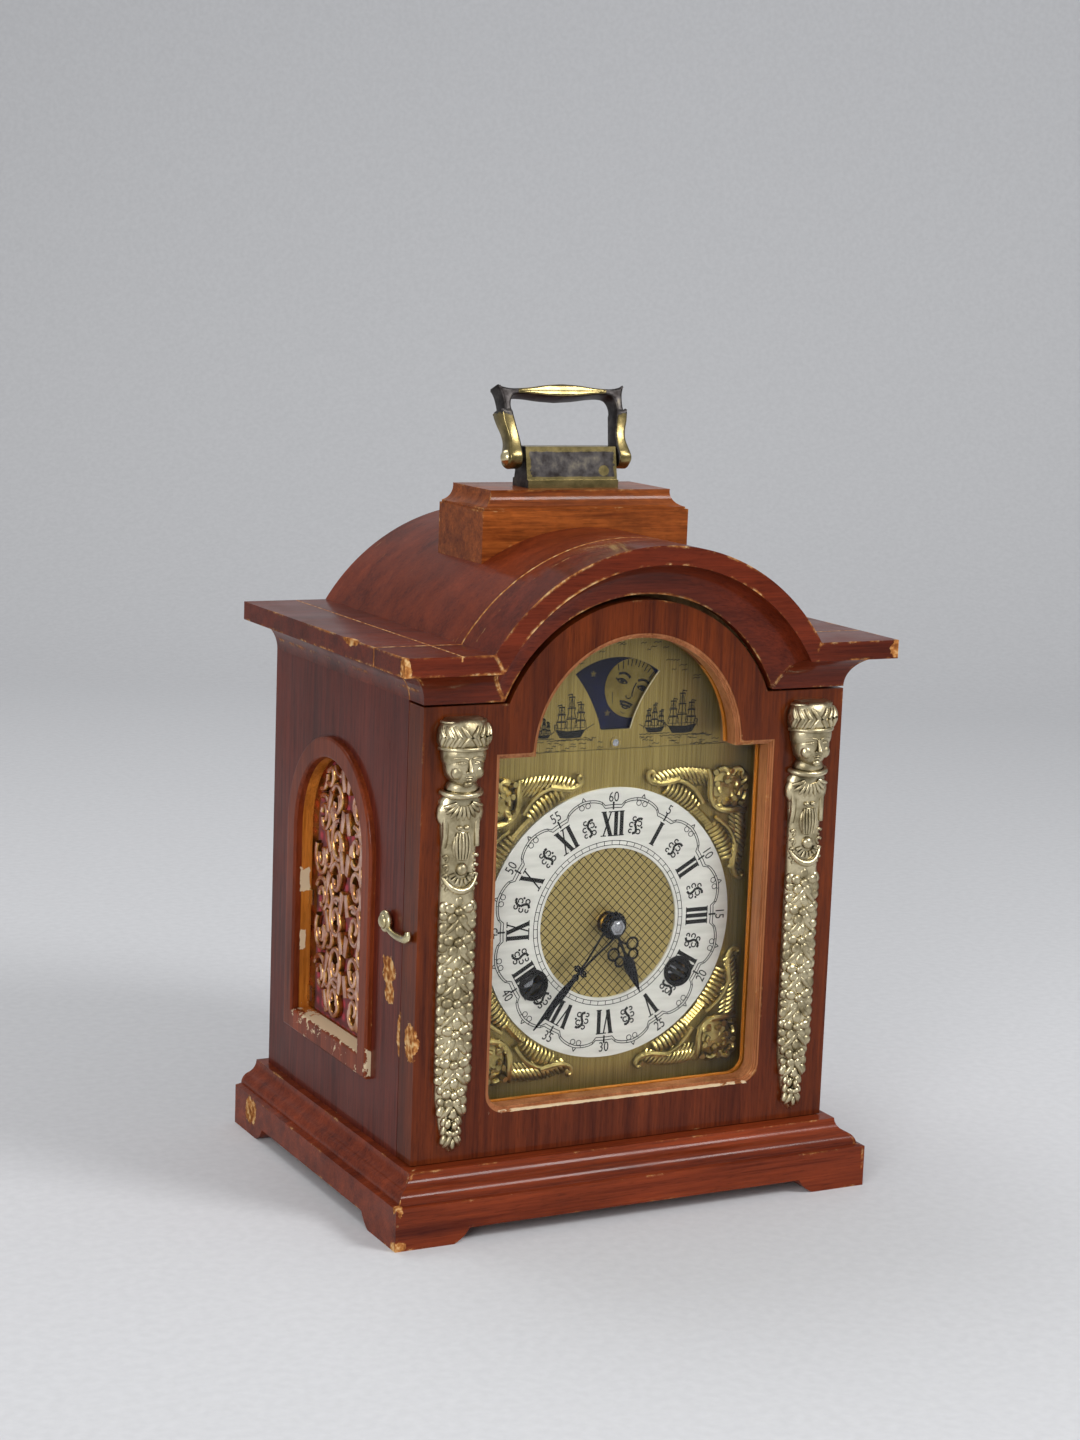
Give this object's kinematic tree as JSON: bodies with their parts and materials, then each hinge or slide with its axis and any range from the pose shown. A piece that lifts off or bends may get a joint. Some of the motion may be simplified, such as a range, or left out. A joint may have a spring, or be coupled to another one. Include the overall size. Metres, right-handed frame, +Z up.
{
  "type": "moon phase desk clock",
  "caption": "Mahogany bracket clock with a break-arch dial and moon disc, glazed front door, pierced side windows, folding brass handle and a geared movement inside.",
  "frame": {"origin": "on the table under the middle of the plinth", "axes": "+Z up, the dial faces -Y, +X to the right for someone who reads the dial"},
  "size_m": [0.2006, 0.156, 0.2991],
  "materials": {
    "mahogany": "glossy red-brown lacquer over mahogany veneer",
    "inner_wood": "plain softwood, unfinished",
    "red_cloth": "thin red backing cloth",
    "fret_copper": "copper-coloured lacquered casting",
    "cast_brass": "bright cast brass",
    "pale_brass": "pale silvery cast brass",
    "aged_brass": "brass with dark patina",
    "dial_brass": "matt gilt brass",
    "silvered": "silvered matt ring with black print",
    "black_steel": "black lacquered steel",
    "steel": "bright steel",
    "moon_blue": "navy printed disc",
    "glass": "clear flat glass",
    "movement_brass": "machined brass"
  },
  "bodies": {
    "case": {"base_board": "inner_wood", "plinth_mouldings": "mahogany", "left_side_panel": "mahogany", "right_side_panel": "mahogany", "window_beads": "mahogany", "frets": "fret_copper", "fret_cloths": "red_cloth", "fret_clips": "cast_brass", "dial_frame": "inner_wood", "back_frame": "mahogany", "cornice_arch": "mahogany", "cornice_mouldings": "mahogany", "top_boards": "mahogany", "roof_barrel": "mahogany", "handle_pedestal": "mahogany", "handle_base": "aged_brass", "handle_screws": "aged_brass", "case_hinge_leaves": "aged_brass", "hook_screw": "pale_brass", "dial_plate": "dial_brass", "arch_plate": "dial_brass", "chapter_ring": "silvered", "spandrels": "cast_brass", "winding_grommets": "dial_brass", "front_plate": "movement_brass", "back_plate": "movement_brass", "plate_pillars": "movement_brass", "bell": "movement_brass", "bell_stand": "steel", "balance_cock": "movement_brass"},
    "front_door": {"door_panel": "mahogany", "door_glass": "glass", "glass_beads": "inner_wood", "figure_mounts": "pale_brass", "door_hinge_leaves": "aged_brass", "catch_pin": "steel"},
    "hook": {"door_hook": "pale_brass"},
    "rear_door": {"back_door": "mahogany", "back_door_fittings": "aged_brass"},
    "bail": {"carry_handle": "aged_brass"},
    "minute_group": {"minute_hand": "black_steel", "hand_nut": "steel", "cannon_pinion": "movement_brass"},
    "hour_group": {"hour_hand": "black_steel", "hour_wheel": "movement_brass"},
    "minute_wheel": {"minute_wheel": "movement_brass"},
    "moon_driver": {"moon_driver": "movement_brass"},
    "moon_disc": {"moon_disc": "moon_blue"},
    "going_barrel": {"going_barrel": "movement_brass"},
    "strike_barrel": {"strike_barrel": "movement_brass"},
    "going_arbor": {"going_arbor": "steel"},
    "strike_arbor": {"strike_arbor": "steel"},
    "second_wheel": {"second_wheel": "movement_brass"},
    "centre_wheel": {"centre_wheel": "movement_brass"},
    "third_wheel": {"third_wheel": "movement_brass"},
    "escape_wheel": {"escape_wheel": "movement_brass"},
    "pallet_lever": {"pallet_lever": "steel"},
    "balance_wheel": {"balance_wheel": "steel"},
    "pin_wheel": {"pin_wheel": "movement_brass"},
    "hammer": {"hammer": "steel"}
  },
  "joints": [
    {"name": "front_door_hinge", "type": "hinge", "parent": "case", "child": "front_door", "pos_m": [0.08803, -0.0512, 0.109], "axis": [0, 0, 1], "range_deg": [0, 105]},
    {"name": "hook_pivot", "type": "hinge", "parent": "case", "child": "hook", "pos_m": [-0.08625, -0.0405, 0.10981], "axis": [1, 0, 0], "range_deg": [0, 80]},
    {"name": "rear_door_hinge", "type": "hinge", "parent": "case", "child": "rear_door", "pos_m": [0.0518, 0.0741, 0.112], "axis": [0, 0, -1], "range_deg": [0, 110]},
    {"name": "bail_pivot", "type": "hinge", "parent": "case", "child": "bail", "pos_m": [0, 0.0016, 0.2717], "axis": [1, 0, 0], "range_deg": [-80, 120]},
    {"name": "minute_hand_turn", "type": "hinge", "parent": "case", "child": "minute_group", "pos_m": [0, 0, 0.1032], "axis": [0, 1, 0], "continuous": true},
    {"name": "hour_hand_turn", "type": "hinge", "parent": "case", "child": "hour_group", "pos_m": [0, 0, 0.1032], "axis": [0, 1, 0], "continuous": true},
    {"name": "minute_wheel_turn", "type": "hinge", "parent": "case", "child": "minute_wheel", "pos_m": [0.014, 0, 0.1032], "axis": [0, 1, 0], "continuous": true},
    {"name": "moon_driver_turn", "type": "hinge", "parent": "case", "child": "moon_driver", "pos_m": [0, 0, 0.1256], "axis": [0, 1, 0], "continuous": true},
    {"name": "moon_disc_turn", "type": "hinge", "parent": "case", "child": "moon_disc", "pos_m": [0, 0, 0.1711], "axis": [0, 1, 0], "continuous": true},
    {"name": "escape_wheel_turn", "type": "hinge", "parent": "case", "child": "escape_wheel", "pos_m": [0.01676, 0, 0.13223], "axis": [0, 1, 0], "continuous": true},
    {"name": "third_wheel_turn", "type": "hinge", "parent": "case", "child": "third_wheel", "pos_m": [0.0092, 0, 0.11914], "axis": [0, 1, 0], "continuous": true},
    {"name": "centre_wheel_turn", "type": "hinge", "parent": "case", "child": "centre_wheel", "pos_m": [0, 0, 0.1032], "axis": [0, 1, 0], "continuous": true},
    {"name": "second_wheel_turn", "type": "hinge", "parent": "case", "child": "second_wheel", "pos_m": [0.021, 0, 0.10336], "axis": [0, 1, 0], "continuous": true},
    {"name": "going_barrel_turn", "type": "hinge", "parent": "case", "child": "going_barrel", "pos_m": [0.0305, 0, 0.0823], "axis": [0, 1, 0], "continuous": true},
    {"name": "strike_barrel_turn", "type": "hinge", "parent": "case", "child": "strike_barrel", "pos_m": [-0.0305, 0, 0.0823], "axis": [0, 1, 0], "continuous": true},
    {"name": "pin_wheel_turn", "type": "hinge", "parent": "case", "child": "pin_wheel", "pos_m": [-0.02452, 0, 0.10461], "axis": [0, 1, 0], "continuous": true},
    {"name": "going_arbor_wind", "type": "hinge", "parent": "case", "child": "going_arbor", "pos_m": [0.0305, 0, 0.0823], "axis": [0, 1, 0], "continuous": true},
    {"name": "strike_arbor_wind", "type": "hinge", "parent": "case", "child": "strike_arbor", "pos_m": [-0.0305, 0, 0.0823], "axis": [0, 1, 0], "continuous": true},
    {"name": "pallet_rock", "type": "hinge", "parent": "case", "child": "pallet_lever", "pos_m": [0.02796, 0, 0.13223], "axis": [0, 1, 0], "range_deg": [-3, 3], "stiffness_Nm_per_rad": 0.000001},
    {"name": "balance_swing", "type": "hinge", "parent": "case", "child": "balance_wheel", "pos_m": [0.03876, 0, 0.13223], "axis": [0, 1, 0], "range_deg": [-150, 150], "stiffness_Nm_per_rad": 0.00005},
    {"name": "hammer_lift", "type": "hinge", "parent": "case", "child": "hammer", "pos_m": [-0.042, 0, 0.112], "axis": [0, 1, 0], "range_deg": [-14, 0.4], "stiffness_Nm_per_rad": 0.004}
  ],
  "couplings": [
    {"joint": "hour_hand_turn", "follows": "minute_hand_turn", "ratio": 0.083333},
    {"joint": "minute_wheel_turn", "follows": "minute_hand_turn", "ratio": -0.33333},
    {"joint": "moon_driver_turn", "follows": "minute_hand_turn", "ratio": -0.083333},
    {"joint": "moon_disc_turn", "follows": "minute_hand_turn", "ratio": 0.00070621},
    {"joint": "third_wheel_turn", "follows": "escape_wheel_turn", "ratio": -0.16667},
    {"joint": "centre_wheel_turn", "follows": "escape_wheel_turn", "ratio": 0.025},
    {"joint": "second_wheel_turn", "follows": "escape_wheel_turn", "ratio": -0.0041667},
    {"joint": "going_barrel_turn", "follows": "escape_wheel_turn", "ratio": 0.00069444},
    {"joint": "pin_wheel_turn", "follows": "strike_barrel_turn", "ratio": -6}
  ]
}
